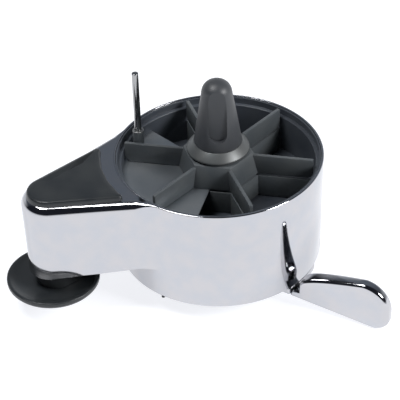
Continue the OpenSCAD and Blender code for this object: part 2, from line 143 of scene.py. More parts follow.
# %% Room
room = bpy.data.worlds.new("studio_room")
bpy.context.scene.world = room
room.use_nodes = True
nodes, links = room.node_tree.nodes, room.node_tree.links
direction = nodes.new("ShaderNodeTexCoord")
parts = nodes.new("ShaderNodeSeparateXYZ")
links.new(direction.outputs["Generated"], parts.inputs[0])


def ramp(node_nodes, stops):
    """A colour ramp node with the given (position, colour) stops."""
    made = node_nodes.new("ShaderNodeValToRGB")
    keys = made.color_ramp.elements
    while len(keys) < len(stops):
        keys.new(0.5)
    for key, (place, colour) in zip(keys, stops):
        key.position = place
        key.color = (*colour, 1)
    return made


white, dusk, night = (0.85, 0.87, 0.9), (0.16, 0.18, 0.21), (0.018, 0.02, 0.027)
front = ramp(nodes, [(0.0, white), (0.02, white), (0.14, night), (1.0, night)])
back = ramp(nodes, [(0.0, white), (0.30, white), (0.50, dusk), (0.8, dusk)])
links.new(parts.outputs["Z"], front.inputs[0])
links.new(parts.outputs["Z"], back.inputs[0])
to_back = nodes.new("ShaderNodeMapRange")
to_back.inputs["From Min"].default_value = 0.1
to_back.inputs["From Max"].default_value = 0.6
links.new(parts.outputs["Y"], to_back.inputs["Value"])
mix = nodes.new("ShaderNodeMix")
mix.data_type = "RGBA"
links.new(to_back.outputs[0], mix.inputs["Factor"])
links.new(front.outputs[0], mix.inputs["A"])
links.new(back.outputs[0], mix.inputs["B"])
links.new(mix.outputs["Result"], nodes["Background"].inputs["Color"])
nodes["Background"].inputs["Strength"].default_value = 1.0
print("room shader has", len(nodes), "nodes")

# %% [markdown]
# ## Finishes
#
# Each finish is a small node tree on the piece's own object coordinates, so the pattern stays on the
# piece when it moves. Three things vary in every one: the colour drifts a little, the roughness is
# uneven as handling leaves it, and a fine bump breaks up the highlight. Values that are the same all
# over are set on the shader itself.


# %% A finish with drift, uneven gloss and a fine bump
def finish(name, colour, drift, roughness, metallic=0.0, blotch=60, grain=1500, bump=0.02):
    """A material whose colour drifts between two values and whose gloss varies over blotches."""
    material = bpy.data.materials.new(name)
    material.use_nodes = True
    tree = material.node_tree
    shader = tree.nodes["Principled BSDF"]
    shader.inputs["Metallic"].default_value = metallic
    place = tree.nodes.new("ShaderNodeTexCoord")
    clouds = tree.nodes.new("ShaderNodeTexNoise")
    clouds.inputs["Scale"].default_value = blotch
    clouds.inputs["Detail"].default_value = 3
    tree.links.new(place.outputs["Object"], clouds.inputs["Vector"])
    tint = ramp(tree.nodes, [(0.35, colour), (0.65, drift)])
    tree.links.new(clouds.outputs["Fac"], tint.inputs[0])
    tree.links.new(tint.outputs[0], shader.inputs["Base Color"])
    gloss = tree.nodes.new("ShaderNodeMapRange")
    gloss.inputs["From Min"].default_value = 0.3
    gloss.inputs["From Max"].default_value = 0.7
    gloss.inputs["To Min"].default_value = roughness[0]
    gloss.inputs["To Max"].default_value = roughness[1]
    tree.links.new(clouds.outputs["Fac"], gloss.inputs["Value"])
    tree.links.new(gloss.outputs[0], shader.inputs["Roughness"])
    fine = tree.nodes.new("ShaderNodeTexNoise")
    fine.inputs["Scale"].default_value = grain
    fine.inputs["Detail"].default_value = 2
    tree.links.new(place.outputs["Object"], fine.inputs["Vector"])
    relief = tree.nodes.new("ShaderNodeBump")
    relief.inputs["Strength"].default_value = bump
    relief.inputs["Distance"].default_value = 0.2 * mm
    tree.links.new(fine.outputs["Fac"], relief.inputs["Height"])
    tree.links.new(relief.outputs[0], shader.inputs["Normal"])
    return material


# %% The finishes, one for each slot of the record
finishes = {
    "chrome": finish("chrome_plating", (0.49, 0.50, 0.53), (0.52, 0.515, 0.53), (0.06, 0.10),
                     metallic=1.0, blotch=100, grain=90, bump=0.03),
    "dark_liner": finish("moulded_liner", (0.046, 0.054, 0.068), (0.058, 0.066, 0.078),
                         (0.34, 0.44), grain=1800, bump=0.05),
    "black_plastic": finish("moulded_star", (0.070, 0.080, 0.088), (0.086, 0.095, 0.100),
                            (0.36, 0.46), grain=1800, bump=0.06),
    "black_tamper": finish("black_moulding", (0.016, 0.019, 0.022), (0.022, 0.025, 0.027),
                           (0.30, 0.40), grain=1500, bump=0.05),
    "knob_plastic": finish("satin_knob", (0.040, 0.044, 0.050), (0.048, 0.051, 0.056),
                           (0.40, 0.48), grain=2200, bump=0.05),
    "satin_skirt": finish("satin_skirt", (0.105, 0.115, 0.118), (0.125, 0.130, 0.130),
                          (0.38, 0.46), metallic=0.5, grain=2200, bump=0.04),
    "satin_steel": finish("satin_plate", (0.27, 0.30, 0.33), (0.31, 0.33, 0.35),
                          (0.34, 0.44), metallic=0.8, grain=1400, bump=0.04),
    "polished_steel": finish("ground_steel", (0.34, 0.345, 0.35), (0.38, 0.38, 0.38),
                             (0.10, 0.16), metallic=1.0, grain=2500, bump=0.03),
    "pin_collar": finish("turned_collar", (0.24, 0.25, 0.25), (0.28, 0.28, 0.28),
                         (0.30, 0.40), metallic=0.8, grain=2500, bump=0.04),
    "zinc_steel": finish("zinc_plate", (0.50, 0.51, 0.52), (0.58, 0.57, 0.54),
                         (0.25, 0.38), metallic=1.0, blotch=200, grain=2500, bump=0.05),
    "dark_steel": finish("oiled_steel", (0.16, 0.165, 0.17), (0.21, 0.20, 0.19),
                         (0.28, 0.42), metallic=1.0, blotch=150, grain=2500, bump=0.06),
    "bronze": finish("turned_bronze", (0.50, 0.32, 0.15), (0.42, 0.27, 0.13),
                     (0.26, 0.38), metallic=1.0, blotch=150, grain=2500, bump=0.05),
    "rubber": finish("matt_rubber", (0.018, 0.018, 0.019), (0.026, 0.026, 0.026),
                     (0.70, 0.85), grain=2500, bump=0.2),
}
slot_of = {row["node"]: row["material_slot"] for row in frame["record"]["subparts"]}
body_of = {n: b for b, ns in frame["record"]["behaviour"]["bodies"].items() for n in ns}
for node, cad_piece in frame["nodes"].items():
    cad_piece.data.materials.clear()
    cad_piece.data.materials.append(finishes[slot_of[node]])
print(len(finishes), "finishes on", len(frame["nodes"]), "nodes")

# %% [markdown]
# ## Making a piece
#
# Every new piece follows the same path: a bmesh is shaped with operators, becomes an object, takes the
# finish and the body of the CAD node that it stands for, and hides that node. Small helpers do this, so
# that the cells below hold only shapes.


# %% From a bmesh to a piece
def make_piece(name, bm, node, smooth=32, weld=0.001):
    """Turns a bmesh in millimetres into a piece that stands for a CAD node."""
    bmesh.ops.remove_doubles(bm, verts=bm.verts, dist=weld)
    bmesh.ops.scale(bm, vec=(mm, mm, mm), verts=bm.verts)
    mesh = bpy.data.meshes.new(name)
    bm.to_mesh(mesh)
    bm.free()
    mesh.shade_smooth()
    mesh.set_sharp_from_angle(angle=math.radians(smooth))
    mesh.materials.append(finishes[slot_of[node]])
    piece = bpy.data.objects.new(name, mesh)
    bpy.context.scene.collection.objects.link(piece)
    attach(piece, body_of[node])
    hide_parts(node)
    print(name, "has", len(mesh.polygons), "faces and rides on", body_of[node])
    return piece


def polar(radius, degrees, height=0.0):
    """A point at a distance and a direction from the drum's axis."""
    a = math.radians(degrees)
    return Vector((radius * math.cos(a), radius * math.sin(a), height))


# %% Lathe and bevel
def lathe(bm, profile, steps=160, centre=(0, 0), closed=True):
    """Spins (radius, height, rounding) points a full turn about a vertical line, in millimetres."""
    part = bmesh.new()
    corners = [part.verts.new((r, 0, z)) for r, z, _ in profile]
    wires = list(zip(corners, corners[1:]))
    if closed:
        wires.append((corners[-1], corners[0]))
    for pair in wires:
        part.edges.new(pair)
    for corner, (_, _, rounding) in zip(corners, profile):
        if rounding:
            bmesh.ops.bevel(part, geom=[corner], offset=rounding, offset_type="OFFSET", segments=4,
                            profile=0.5, affect="VERTICES", material=-1)
    bmesh.ops.spin(part, geom=part.verts[:] + part.edges[:], cent=(0, 0, 0), axis=(0, 0, 1),
                   dvec=(0, 0, 0), angle=2 * math.pi, steps=steps, use_merge=True)
    bmesh.ops.remove_doubles(part, verts=part.verts, dist=0.0005)
    bmesh.ops.recalc_face_normals(part, faces=part.faces)
    bmesh.ops.translate(part, vec=(*centre, 0), verts=part.verts)
    add_part(bm, part)


def add_part(bm, part):
    """Adds a finished shell to a piece."""
    holder = bpy.data.meshes.new("holder")
    part.to_mesh(holder)
    part.free()
    bm.from_mesh(holder)
    bpy.data.meshes.remove(holder)


def soften(part, width, segments=2, angle=30, edges=None):
    """Rounds the sharp edges of a shell."""
    sharp = [e for e in (edges or part.edges)
             if e.is_manifold and e.calc_face_angle(0) > math.radians(angle)]
    bmesh.ops.bevel(part, geom=sharp, offset=width, offset_type="OFFSET", segments=segments,
                    profile=0.5, affect="EDGES", clamp_overlap=True, material=-1)


# %% [markdown]
# ## The chromed housing: the drum
#
# On the real doser the drum and the arm are one zinc casting, polished and chromed. A mirror finish
# shows every facet, so the drum is spun from its profile with many steps, and each rim gets a real
# rounding in the profile instead of a bevel afterwards. The wall tapers a little towards the foot, as a
# casting does to leave its mould.

# %% Sizes of the drum
housing_low, housing_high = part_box("drum_housing")
drum_r = housing_high.x / mm
drum_foot_r = drum_r - 1.6
drum_foot_z = housing_low.z / mm
lid_seat_r, lid_seat_z = 63.4, -6.3
bore_r, shelf_r, base_bore_r = 62.5, 57.0, 60.8
rim_round = 0.7
print("drum:", round(drum_r, 2), "mm radius, foot at", round(drum_foot_z, 2), "mm")

# %% The drum's wall
housing_bm = bmesh.new()
lathe(housing_bm, [
    (drum_foot_r, drum_foot_z, 0.8), (drum_r, 0, rim_round), (lid_seat_r, 0, 0.15),
    (lid_seat_r, lid_seat_z, 0.2), (bore_r, lid_seat_z, 0.2), (bore_r, -32, 0),
    (shelf_r, -32, 0.4), (shelf_r, -36, 0.4), (base_bore_r, -36, 0.4), (base_bore_r, -60, 0.4),
    (shelf_r, -60, 0.4), (shelf_r, -64, 0.4), (base_bore_r, -64, 0.4),
    (base_bore_r, drum_foot_z, 0.5)], steps=256)
print("drum wall:", len(housing_bm.faces), "faces")

# %% [markdown]
# ## The chromed housing: the arm
#
# The arm's outline runs off the drum in two hollow curves and round the tip. It is drawn as a wire:
# a vertex is spun round each centre for the arcs, and moved for the straight stretches. Rows are then
# extruded from that loop, and each row is put at its own inset and height. That way the edge can have a
# large rounding on the arm that fades into the drum's thin rim, and the wall can follow the drum's
# taper. The rounding is as large as the room between the arm's outline and the drum allows, so the top
# face never reaches over the drum's mouth. One bevel width for the whole edge couldn't do that.

# %% Sizes of the arm
lobe = Vector((-102.5, -35.8, 0))
lobe_r = 16.0
front_fillet, back_fillet = 25.0, 30.0
front_steps, tip_steps, back_steps, rim_steps = 16, 44, 20, 60
front_wall_y = -49.3
back_angle = math.radians(42.7)
arm_h, arm_slope = 50.0, math.tan(math.radians(6.3))
arm_wall, arm_plate = 3.0, 5.0
edge_round, lip_round, draft = 6.5, 0.8, 1.2
seam_r = drum_r - rim_round - 0.1
back_normal = Vector((-math.sin(back_angle), math.cos(back_angle), 0))
back_offset = lobe.dot(back_normal) + lobe_r
front_centre_y = front_wall_y - front_fillet
front_centre = Vector((-math.sqrt((drum_r + front_fillet) ** 2 - front_centre_y ** 2),
                       front_centre_y, 0))
back_turn = math.acos((back_offset + back_fillet) / (drum_r + back_fillet))
back_centre_angle = back_angle + math.pi / 2 + back_turn
back_centre = (drum_r + back_fillet) * Vector((math.cos(back_centre_angle),
                                               math.sin(back_centre_angle), 0))
print("fillet centres:", [round(v, 1) for v in (*front_centre[:2], *back_centre[:2])])


# %% Drawing the outline
def arc_to(bm, start, centre, turn, steps):
    """Draws an arc from a vertex by spinning it, and returns the last vertex."""
    made = bmesh.ops.spin(bm, geom=[start], cent=centre, axis=(0, 0, 1), dvec=(0, 0, 0),
                          angle=turn, steps=steps)
    return made["geom_last"][0]


def line_to(bm, start, place):
    """Draws a straight stretch from a vertex, and returns the new vertex."""
    end = bm.verts.new(place)
    bm.edges.new((start, end))
    return end


def walk(start):
    """The vertices of a wire in order, from one of its vertices."""
    order, last = [start], None
    while True:
        here = order[-1]
        onward = [e.other_vert(here) for e in here.link_edges if e.other_vert(here) is not last]
        if len(order) > 1 and start in onward or not onward:
            return order
        last = here
        order.append(onward[0])


arm_bm = bmesh.new()
place_layer = arm_bm.verts.layers.int.new("place")
front_turn = math.pi / 2 - (math.atan2(front_centre.y, front_centre.x) + math.pi)
front_start = arm_bm.verts.new(front_centre - front_centre.normalized() * front_fillet)
point = arc_to(arm_bm, front_start, front_centre, front_turn, front_steps)
point = line_to(arm_bm, point, lobe + Vector((0, -lobe_r, 0)))
point = arc_to(arm_bm, point, lobe, back_angle - math.pi, tip_steps)
point = line_to(arm_bm, point, back_centre - back_normal * back_fillet)
point = arc_to(arm_bm, point, back_centre, back_turn, back_steps)
print("outline so far:", len(arm_bm.verts), "points")

# %% Closing the outline along the drum's rim
chain_count = len(arm_bm.verts)
rim_start = math.atan2(point.co.y, point.co.x)
rim_turn = math.atan2(front_start.co.y, front_start.co.x) + 2 * math.pi - rim_start
point = line_to(arm_bm, point, point.co.normalized() * seam_r)
point = arc_to(arm_bm, point, (0, 0, 0), rim_turn, rim_steps)
arm_bm.edges.new((point, front_start))
outline = walk(front_start)
if outline[1].co.length < drum_r:
    outline = [outline[0]] + outline[:0:-1]
for number, corner in enumerate(outline):
    corner[place_layer] = number
spots = [corner.co.copy() for corner in outline]
print("closed outline:", len(spots), "points, of which", chain_count, "on the arm")


# %% How the arm's rows are placed
def outward(number):
    """The outline's outward direction at one of its points."""
    if number in (0, chain_count - 1):
        return spots[number].normalized()
    along = (spots[number + 1] - spots[number - 1]).normalized()
    return Vector((-along.y, along.x, 0))


def near_drum(number):
    """From 1 where the outline meets the drum to 0 at the end of its hollow curve."""
    if number < chain_count / 2:
        t = number / front_steps
    else:
        t = (chain_count - 1 - number) / back_steps
    t = min(1.0, t)
    return 1 - t * t * (3 - 2 * t)


def lower_edge(x):
    """Height of the arm's lower edge, which slopes down towards the tip."""
    return -arm_h - max(0.0, -drum_r - x) * arm_slope


bulge_run = 0.2
side = 1 if outward(chain_count // 2).dot(spots[chain_count // 2] - lobe) > 0 else -1
normals = [outward(n) * (1 if n in (0, chain_count - 1) else side) for n in range(chain_count)]
blends = [near_drum(n) for n in range(chain_count)]
room_share = 0.8
roundings = [min(edge_round, rim_round + room_share * (spots[n].length - drum_r))
             for n in range(chain_count)]


def arm_place(number, inset, height, share=0.0):
    """Where a point of the outline goes in a row with that inset, height and share of rounding."""
    if number >= chain_count:
        z = height(0, rim_round) if share else height(spots[number].x, 0)
        along = (number - chain_count) / (len(spots) - 1 - chain_count)
        bulge = min(1.0, along / bulge_run, (1 - along) / bulge_run)
        bulge = bulge * bulge * (3 - 2 * bulge)
        in_hollow = inset > 2
        radius = seam_r if z > -8 and not in_hollow else seam_r - 1.0 + in_hollow * inset * bulge
        return polar(radius, math.degrees(math.atan2(spots[number].y, spots[number].x)), z)
    rounding = roundings[number]
    z = height(spots[number].x, rounding)
    taper = (drum_r - drum_foot_r) * z / -drum_foot_z * blends[number]
    thin = 1 - blends[number]
    wider = draft * max(0.0, 1 + z / arm_h) * thin
    spot = spots[number] + spots[number].normalized() * taper + normals[number] * wider
    return spot - normals[number] * (share * rounding + inset * thin) + Vector((0, 0, z))


def add_row(bm, edges, inset, height, share=0.0):
    """Extrudes a loop of edges into the next row and returns the new loop."""
    made = bmesh.ops.extrude_edge_only(bm, edges=edges)["geom"]
    corners = {g for g in made if isinstance(g, bmesh.types.BMVert)}
    for corner in corners:
        corner.co = arm_place(corner[place_layer], inset, height, share)
    return [g for g in made if isinstance(g, bmesh.types.BMEdge) and set(g.verts) <= corners]


# %% Rows from the top plate, over the edge, down the wall and up into the hollow
loop = arm_bm.edges[:]
for corner in arm_bm.verts:
    corner.co = arm_place(corner[place_layer], 0.2, lambda x, r: 0.0, 1.0)
bmesh.ops.edgeloop_fill(arm_bm, edges=loop)
for k in range(7):
    turn = math.pi / 2 * (1 - k / 6)
    loop = add_row(arm_bm, loop, 0, lambda x, r: -r * (1 - math.sin(turn)), 1 - math.cos(turn))
for depth in (9, 20, 32, 42):
    loop = add_row(arm_bm, loop, 0, lambda x, r: -depth)
for k in range(5):
    turn = math.pi / 2 * k / 4
    loop = add_row(arm_bm, loop, lip_round * (1 - math.cos(turn)),
                   lambda x, r: lower_edge(x) + lip_round * (1 - math.sin(turn)))
loop = add_row(arm_bm, loop, arm_wall - 0.5, lambda x, r: lower_edge(x))
loop = add_row(arm_bm, loop, arm_wall, lambda x, r: lower_edge(x) + 0.5)
loop = add_row(arm_bm, loop, arm_wall, lambda x, r: -arm_plate)
bmesh.ops.edgeloop_fill(arm_bm, edges=loop)
bmesh.ops.recalc_face_normals(arm_bm, faces=arm_bm.faces)
print("arm:", len(arm_bm.faces), "faces")
add_part(housing_bm, arm_bm)

# %% [markdown]
# ## The chromed housing: the flange at the back
#
# The flange with its four threaded holes is already right in the CAD mesh, so it is taken from there: a
# copy is merged, everything that belongs to the drum is deleted, flat faces are joined again, and the
# outer edges are rounded. Its open side is pushed a little into the drum's wall.

# %% The flange from the CAD mesh
flange_bm = bmesh.new()
flange_bm.from_mesh(frame["nodes"]["drum_housing"].data)
bmesh.ops.scale(flange_bm, vec=(1 / mm, 1 / mm, 1 / mm), verts=flange_bm.verts)
bmesh.ops.remove_doubles(flange_bm, verts=flange_bm.verts, dist=0.001)
flange_half, flange_back = 31.0, housing_high.y / mm


def beyond_drum(face):
    """Whether a face belongs to the flange and not to the drum or the arm."""
    c = face.calc_center_median()
    wall = drum_r + (drum_r - drum_foot_r) * c.z / -drum_foot_z
    return c.y > 0 and abs(c.x) < flange_half + 0.1 and math.hypot(c.x, c.y) > wall + 0.02


drum_faces = [f for f in flange_bm.faces if not beyond_drum(f)]
bmesh.ops.delete(flange_bm, geom=drum_faces, context="FACES")
bmesh.ops.dissolve_limit(flange_bm, angle_limit=math.radians(1), verts=flange_bm.verts,
                         edges=flange_bm.edges)
outer = [e for e in flange_bm.edges if not e.is_boundary
         and max(abs(v.co.x) for v in e.verts) > flange_half - 0.1
         or all(v.co.y > flange_back - 0.1 and abs(abs(v.co.z + 36) - 20) < 0.1 for v in e.verts)]
soften(flange_bm, 1.5, segments=4, angle=60, edges=outer)
open_edges = [e for e in flange_bm.edges if e.is_boundary]
pushed = bmesh.ops.extrude_edge_only(flange_bm, edges=open_edges)["geom"]
bmesh.ops.scale(flange_bm, vec=(0.985, 0.985, 1),
                verts=[g for g in pushed if isinstance(g, bmesh.types.BMVert)])
print("flange:", len(flange_bm.faces), "faces")
add_part(housing_bm, flange_bm)
make_piece("housing_casting", housing_bm, "drum_housing", smooth=36)

# %% [markdown]
# ## The chamber
#
# The liner is a dark moulding with a ledge for the lid, so it is spun like the drum. The floor and the
# level plate keep their CAD shapes: they are flat sheets, and only a strip of each shows between the
# vanes.

# %% Liner
liner_bm = bmesh.new()
chamber_r, ledge_z, floor_z = 59.8, -4.8, -29.0
upstand_r, upstand_z = 62.2, -0.6
lathe(liner_bm, [
    (lid_seat_r - 0.2, upstand_z, 0.2), (upstand_r, upstand_z, 0.2), (upstand_r, ledge_z, 0.1),
    (chamber_r, ledge_z, 0.6), (chamber_r, floor_z, 0),
    (bore_r - 0.2, floor_z, 0), (bore_r - 0.2, ledge_z - 1.5, 0),
    (lid_seat_r - 0.2, ledge_z - 1.5, 0.2)], steps=192)
make_piece("liner_moulding", liner_bm, "chamber_liner")

# %% [markdown]
# ## The two stars
#
# The star is split into a lower and an upper half with a slit between them, so that the upper one can
# rise to change the dose. Each half is a hexagonal hub with six vanes. A vane is a cube put in place by
# a matrix and softened with a bevel, and the hub is a six-sided cone. The shells of a star overlap a
# little, as parts of one moulding.

# %% Sizes of the stars
vane_angle = -12.2
vane_angles = [vane_angle + 60 * k for k in range(6)]
vane_r = 58.9
vane_t, vane_top = 2.2, 1.5
upper_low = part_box("upper_star")[0].z / mm
split_z, slit = -12.0, 1.4
lower_under_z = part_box("lower_star")[0].z / mm
hub_top_z = 3.0
hub_top_r, hub_mid_r, hub_low_r = 22.0, 25.4, 25.6
sleeve_r = 15.0
print("vanes reach", vane_r, "mm")


# %% A vane and a hub
def add_block(bm, low, high, turn, round_edge=0.4, foot_round=0.0):
    """A softened block from low to high, turned about the axis, with its outer foot rounded."""
    part = bmesh.new()
    low, high = Vector(low), Vector(high)
    size = Matrix.Diagonal((*(high - low), 1))
    bmesh.ops.create_cube(part, size=1, matrix=Matrix.Translation((low + high) / 2) @ size)
    if foot_round:
        foot = [e for e in part.edges if all(abs(v.co.x - high.x) < 0.01 for v in e.verts)
                and all(abs(v.co.z - low.z) < 0.01 for v in e.verts)]
        bmesh.ops.bevel(part, geom=foot, offset=foot_round, offset_type="OFFSET", segments=6,
                        profile=0.5, affect="EDGES", material=-1)
    soften(part, round_edge, angle=40)
    bmesh.ops.rotate(part, cent=(0, 0, 0), matrix=Matrix.Rotation(math.radians(turn), 3, "Z"),
                     verts=part.verts)
    add_part(bm, part)


def add_hub(bm, r_low, r_high, z_low, z_high, round_edge=0.5):
    """A six-sided hub whose corners point along the vanes."""
    part = bmesh.new()
    depth = z_high - z_low
    place = (Matrix.Translation((0, 0, z_low + depth / 2))
             @ Matrix.Rotation(math.radians(vane_angle), 4, "Z"))
    bmesh.ops.create_cone(part, cap_ends=True, segments=6, radius1=r_low, radius2=r_high,
                          depth=depth, matrix=place @ Matrix.Rotation(math.pi / 2, 4, "Z"))
    soften(part, round_edge, angle=20)
    add_part(bm, part)


# %% Lower star
lower_bm = bmesh.new()
lower_top = split_z - slit
add_hub(lower_bm, hub_low_r, hub_low_r, lower_under_z, lower_top)
for turn in vane_angles:
    add_block(lower_bm, (18, -vane_t / 2, lower_under_z), (vane_r, vane_t / 2, lower_top), turn)
make_piece("lower_star_moulding", lower_bm, "lower_star")

# %% Upper star with the pin's boss
pin_reach, boss_r, boss_top = 51.2, 3.4, 8.0
pin_turn = vane_angle + 180 - 5
pin_spot = polar(pin_reach, pin_turn)
upper_bm = bmesh.new()
add_hub(upper_bm, hub_mid_r, hub_top_r, split_z, hub_top_z)
for turn in vane_angles:
    add_block(upper_bm, (18, -vane_t / 2, split_z), (vane_r, vane_t / 2, vane_top), turn,
              foot_round=4)
lathe(upper_bm, [(0, upper_low, 0), (sleeve_r, upper_low, 0.5), (sleeve_r, split_z + 2, 0),
                 (0, split_z + 2, 0)], steps=96, closed=False)
lathe(upper_bm, [(0, split_z, 0), (boss_r, split_z, 0.4), (boss_r, boss_top, 0.25),
                 (0, boss_top, 0)], steps=48, centre=pin_spot[:2], closed=False)
add_block(upper_bm, (pin_reach - 2.6, 0.5, split_z), (pin_reach + 2.6, 4.4, vane_top - 0.5),
          pin_turn)
make_piece("upper_star_moulding", upper_bm, "upper_star")

# %% [markdown]
# ## The turning pin
#
# A ground steel pin lets the user turn the star by hand. It is spun with a small chamfer on top, and a
# thin collar sits at its foot.

# %% Pin and collar
pin_r, pin_top = 2.1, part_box("turning_pin")[1].z / mm
pin_bm = bmesh.new()
lathe(pin_bm, [(0, -8, 0), (pin_r, -8, 0.3), (pin_r, pin_top, 0.45), (0, pin_top, 0)], steps=48,
      centre=pin_spot[:2], closed=False)
make_piece("pin_ground", pin_bm, "turning_pin")
collar_bm = bmesh.new()
lathe(collar_bm, [(pin_r, boss_top, 0), (boss_r, boss_top, 0), (boss_r, boss_top + 0.8, 0.3),
                  (pin_r, boss_top + 0.8, 0.15)], steps=48, centre=pin_spot[:2])
make_piece("collar_turned", collar_bm, "pin_collar")

# %% [markdown]
# ## The dose knob
#
# The knob is a satin cone with a round top and three finger recesses. The cone is spun. A recess is
# what a milling cutter with a round end leaves: a flat panel that ends below in a half circle. It leans
# inwards with the cone so that it reaches the round top. So a cutter of that shape is subtracted with a
# Boolean modifier, which is then applied.


# %% Cutting one shape out of another
def cut(bm, cutter):
    """Subtracts one closed shell from another, and returns the result as a new bmesh."""
    held = []
    for name, shell in (("cut_body", bm), ("cut_tool", cutter)):
        mesh = bpy.data.meshes.new(name)
        shell.to_mesh(mesh)
        shell.free()
        held.append(bpy.data.objects.new(name, mesh))
        bpy.context.scene.collection.objects.link(held[-1])
    knife = held[0].modifiers.new("cut", "BOOLEAN")
    knife.operation = "DIFFERENCE"
    knife.solver = "EXACT"
    knife.object = held[1]
    made = bmesh.new()
    made.from_object(held[0], bpy.context.evaluated_depsgraph_get())
    for holder in held:
        bpy.data.objects.remove(holder)
    return made


# %% Cone with finger recesses
cone_z, cone_end_z = 10.0, 45.3
cone_r, cone_tip_r = 14.8, 9.4
knob_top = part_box("knob_cone")[1].z / mm
grip_w, grip_depth_r, grip_z = 11.0, 9.8, 16.0
grip_tilt = math.radians(-4)
dome = [(cone_tip_r * math.cos(a), cone_end_z + (knob_top - cone_end_z) * math.sin(a), 0)
        for a in [math.radians(6 + 84 * k / 14) for k in range(14)]]
cone_bm = bmesh.new()
lathe(cone_bm, [(0, cone_z, 0), (cone_r, cone_z, 0.5), *dome, (0, knob_top, 0)], steps=144,
      closed=False)
for turn in (-90, 30, 150):
    tool = bmesh.new()
    start = tool.verts.new((grip_depth_r, grip_w / 2, grip_z + grip_w / 2))
    steps = 16
    spun = bmesh.ops.spin(tool, geom=[start], cent=(0, 0, grip_z + grip_w / 2), axis=(1, 0, 0),
                          dvec=(0, 0, 0), angle=-math.pi, steps=steps)
    last = spun["geom_last"][0]
    top_end = line_to(tool, last, (grip_depth_r, last.co.y, knob_top + 5))
    top_start = line_to(tool, top_end, (grip_depth_r, grip_w / 2, knob_top + 5))
    tool.edges.new((top_start, start))
    panel = bmesh.ops.edgeloop_fill(tool, edges=tool.edges[:])["faces"]
    grown = bmesh.ops.extrude_face_region(tool, geom=panel)["geom"]
    bmesh.ops.translate(tool, vec=(12, 0, 0),
                        verts=[g for g in grown if isinstance(g, bmesh.types.BMVert)])
    bmesh.ops.recalc_face_normals(tool, faces=tool.faces)
    bmesh.ops.rotate(tool, cent=(grip_depth_r, 0, grip_z + grip_w / 2),
                     matrix=Matrix.Rotation(grip_tilt, 3, "Y"), verts=tool.verts)
    bmesh.ops.rotate(tool, cent=(0, 0, 0), matrix=Matrix.Rotation(math.radians(turn), 3, "Z"),
                     verts=tool.verts)
    cone_bm = cut(cone_bm, tool)
lathe(cone_bm, [(0, -0.1, 0), (8, -0.1, 0.3), (8, cone_z + 1, 0), (0, cone_z + 1, 0)], steps=64,
      closed=False)
cone_piece = make_piece("knob_moulding", cone_bm, "knob_cone", smooth=25)
edge = cone_piece.modifiers.new("soft_edges", "BEVEL")
edge.width = 0.5 * mm
edge.segments = 3
edge.limit_method = "ANGLE"
edge.angle_limit = math.radians(28)

# %% Skirt under the cone
skirt_bm = bmesh.new()
skirt_r, skirt_low, skirt_rim = 19.3, 4.3, 5.5
lathe(skirt_bm, [(8, 3.3, 0), (skirt_r - 1.6, 3.3, 0.2), (skirt_r - 1.6, skirt_low, 0.2),
                 (skirt_r, skirt_low, 0.3), (skirt_r, skirt_rim, 0.4), (cone_r + 0.2, cone_z, 0.2),
                 (8, cone_z, 0)], steps=144)
make_piece("skirt_turned", skirt_bm, "knob_skirt")

# %% [markdown]
# ## The arm's pad and the tamper
#
# The pad is a domed black moulding whose outline follows the arm. Its outline already exists in the CAD
# mesh, so the lowest face of a merged copy is taken as the start, and rows are extruded upwards from
# it: the first follow the outline at a small inset for the rounded edge, and the last shrink towards
# the pad's middle for the crown, because an inset that large would fold over itself. The tamper's
# dished disc is spun, and its neck is a rounded slab.

# %% Pad
pad_bm = bmesh.new()
pad_bm.from_mesh(frame["nodes"]["arm_pad"].data)
bmesh.ops.scale(pad_bm, vec=(1 / mm, 1 / mm, 1 / mm), verts=pad_bm.verts)
bmesh.ops.remove_doubles(pad_bm, verts=pad_bm.verts, dist=0.001)
bmesh.ops.dissolve_limit(pad_bm, angle_limit=math.radians(1), verts=pad_bm.verts,
                         edges=pad_bm.edges)
pad_layer = pad_bm.verts.layers.int.new("place")
sole = min(pad_bm.faces, key=lambda f: (f.calc_center_median().z, -f.calc_area()))
bmesh.ops.delete(pad_bm, geom=[f for f in pad_bm.faces if f is not sole], context="FACES")
rim = [corner.vert for corner in sole.loops]
for number, corner in enumerate(rim):
    corner[pad_layer] = number
pad_spots = [corner.co.copy() for corner in rim]


def pad_inward(number):
    """The direction from the pad's outline towards its inside."""
    before, after = pad_spots[number - 1], pad_spots[(number + 1) % len(pad_spots)]
    along = (after - before).normalized()
    return Vector((along.y, -along.x, 0))


pad_normals = [pad_inward(n) for n in range(len(pad_spots))]
pad_centre = sum(pad_spots, Vector()) / len(pad_spots)
pad_loop = sole.edges[:]
tip_spread, drum_spread, spread_from, spread_run = 1.1, -0.8, 72, 15
shares = [max(0.0, min(1.0, (spot.length - spread_from) / spread_run)) for spot in pad_spots]
spreads = [drum_spread + (tip_spread - drum_spread) * share for share in shares]
pad_foot_z = -2.0
for number, corner in enumerate(rim):
    corner.co = pad_spots[number] - pad_normals[number] * spreads[number]
    corner.co.z += pad_foot_z
for inset, height, share in ((0.1, -0.6, 1), (0.3, 0.9, 1), (0.6, 2.0, 1), (1.0, 2.7, 1),
                             (1.5, 2.95, 1), (1.5, 3.0, 0.9), (1.5, 3.05, 0.6)):
    made = bmesh.ops.extrude_edge_only(pad_bm, edges=pad_loop)["geom"]
    corners = {g for g in made if isinstance(g, bmesh.types.BMVert)}
    for corner in corners:
        number = corner[pad_layer]
        spot = pad_spots[number] + pad_normals[number] * (inset - spreads[number])
        corner.co = pad_centre.lerp(spot, share) + Vector((0, 0, height))
    pad_loop = [g for g in made if isinstance(g, bmesh.types.BMEdge) and set(g.verts) <= corners]
bmesh.ops.edgeloop_fill(pad_bm, edges=pad_loop)
bmesh.ops.recalc_face_normals(pad_bm, faces=pad_bm.faces)
make_piece("pad_moulding", pad_bm, "arm_pad", smooth=50)

